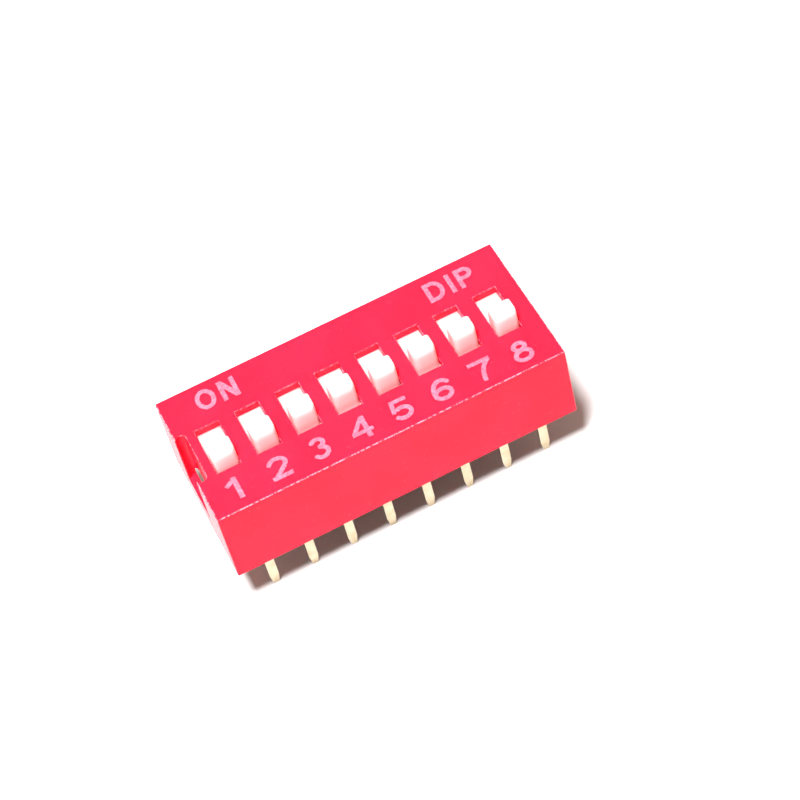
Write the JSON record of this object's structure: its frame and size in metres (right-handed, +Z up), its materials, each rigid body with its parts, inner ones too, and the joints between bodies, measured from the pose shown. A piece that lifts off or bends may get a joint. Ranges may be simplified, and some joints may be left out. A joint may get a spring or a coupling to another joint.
{
  "type": "slide DIP switch",
  "caption": "Slide-type DIP switch: a row of miniature slide switches, numbered along one side, in a dual in-line housing with through-hole leads.",
  "frame": {"origin": "under the middle of the housing, on the plane of the lead tips", "axes": "+X along the row from position 1 to the last, +Y from the numbered side to the ON side, +Z up out of the cover"},
  "size_m": [0.0218, 0.0096, 0.0103],
  "materials": {
    "cover_plastic": "satin moulded red plastic with pinkish printed numbers and words",
    "base_plastic": "moulded black plastic, finely textured",
    "slider_plastic": "satin moulded white plastic",
    "lead_metal": "stamped strip with a pale tarnished plating",
    "contact_metal": "bright gold-plated spring strip",
    "seal_resin": "cast dark resin with a smooth surface"
  },
  "bodies": {
    "housing": {"cover": "cover_plastic", "base": "base_plastic", "front_lead_seal": "seal_resin", "rear_lead_seal": "seal_resin", "front_terminal_1": "lead_metal", "front_terminal_2": "lead_metal", "front_terminal_3": "lead_metal", "front_terminal_4": "lead_metal", "front_terminal_5": "lead_metal", "front_terminal_6": "lead_metal", "front_terminal_7": "lead_metal", "front_terminal_8": "lead_metal", "rear_terminal_1": "lead_metal", "rear_terminal_2": "lead_metal", "rear_terminal_3": "lead_metal", "rear_terminal_4": "lead_metal", "rear_terminal_5": "lead_metal", "rear_terminal_6": "lead_metal", "rear_terminal_7": "lead_metal", "rear_terminal_8": "lead_metal"},
    "slider_1": {"slider_1": "slider_plastic", "bridging_contact_1": "contact_metal"},
    "slider_2": {"slider_2": "slider_plastic", "bridging_contact_2": "contact_metal"},
    "slider_3": {"slider_3": "slider_plastic", "bridging_contact_3": "contact_metal"},
    "slider_4": {"slider_4": "slider_plastic", "bridging_contact_4": "contact_metal"},
    "slider_5": {"slider_5": "slider_plastic", "bridging_contact_5": "contact_metal"},
    "slider_6": {"slider_6": "slider_plastic", "bridging_contact_6": "contact_metal"},
    "slider_7": {"slider_7": "slider_plastic", "bridging_contact_7": "contact_metal"},
    "slider_8": {"slider_8": "slider_plastic", "bridging_contact_8": "contact_metal"}
  },
  "joints": [
    {"name": "slide_1", "type": "slide", "parent": "housing", "child": "slider_1", "axis": [0, 1, 0], "range_m": [0, 0.00215]},
    {"name": "slide_2", "type": "slide", "parent": "housing", "child": "slider_2", "axis": [0, 1, 0], "range_m": [-0.00007, 0.00208]},
    {"name": "slide_3", "type": "slide", "parent": "housing", "child": "slider_3", "axis": [0, 1, 0], "range_m": [-0.00025, 0.0019]},
    {"name": "slide_4", "type": "slide", "parent": "housing", "child": "slider_4", "axis": [0, 1, 0], "range_m": [-0.00032, 0.00183]},
    {"name": "slide_5", "type": "slide", "parent": "housing", "child": "slider_5", "axis": [0, 1, 0], "range_m": [-0.0002, 0.00195]},
    {"name": "slide_6", "type": "slide", "parent": "housing", "child": "slider_6", "axis": [0, 1, 0], "range_m": [-0.00029, 0.00186]},
    {"name": "slide_7", "type": "slide", "parent": "housing", "child": "slider_7", "axis": [0, 1, 0], "range_m": [-0.00024, 0.00191]},
    {"name": "slide_8", "type": "slide", "parent": "housing", "child": "slider_8", "axis": [0, 1, 0], "range_m": [-0.00007, 0.00208]}
  ]
}
